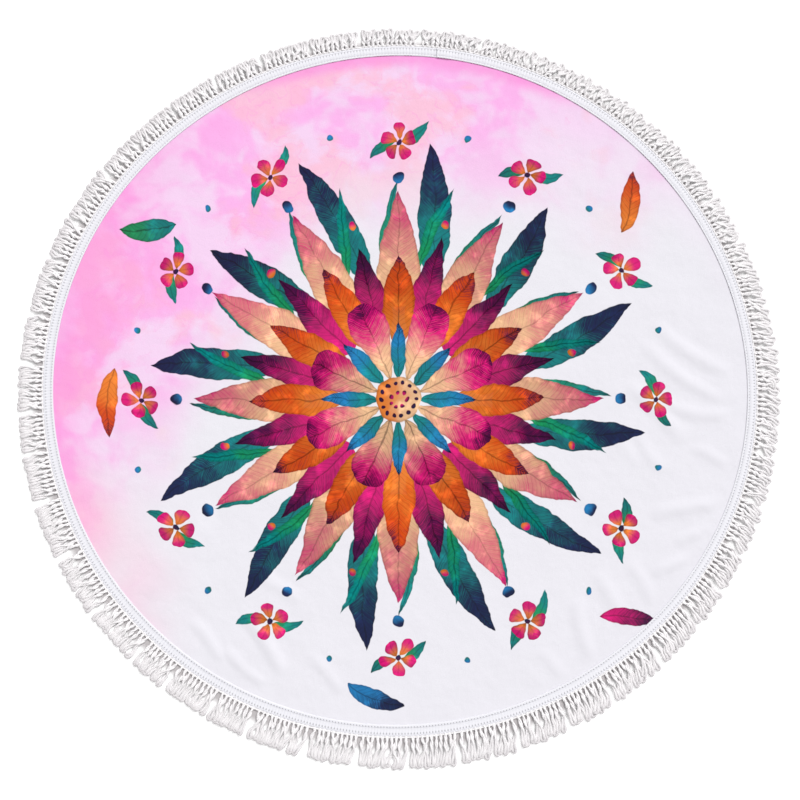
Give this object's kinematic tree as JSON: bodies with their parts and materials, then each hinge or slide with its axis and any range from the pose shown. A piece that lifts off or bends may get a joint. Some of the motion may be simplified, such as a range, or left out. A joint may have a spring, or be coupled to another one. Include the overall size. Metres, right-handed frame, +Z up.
{
  "type": "round beach towel",
  "caption": "Round beach towel lying flat, printed face up, its edge covered by a woven heading tape with a looped tassel fringe.",
  "frame": {"origin": "on the surface the towel lies on, under the middle of the fringe's outline", "axes": "+Z up, out of the printed face; +Y towards the top of the printed face, where the tape is joined; +X to the right of the printed face"},
  "size_m": [1.502, 1.4586, 0.0058],
  "materials": {
    "printed_cloth": "soft brushed cloth, printed in watercolour pinks that fade to white",
    "heading_tape": "white ribbed woven tape",
    "fringe_yarn": "soft white plied cotton yarn"
  },
  "bodies": {
    "root": {"towel_cloth": "printed_cloth", "heading_tape": "heading_tape", "loop_fringe": "fringe_yarn"}
  },
  "joints": []
}
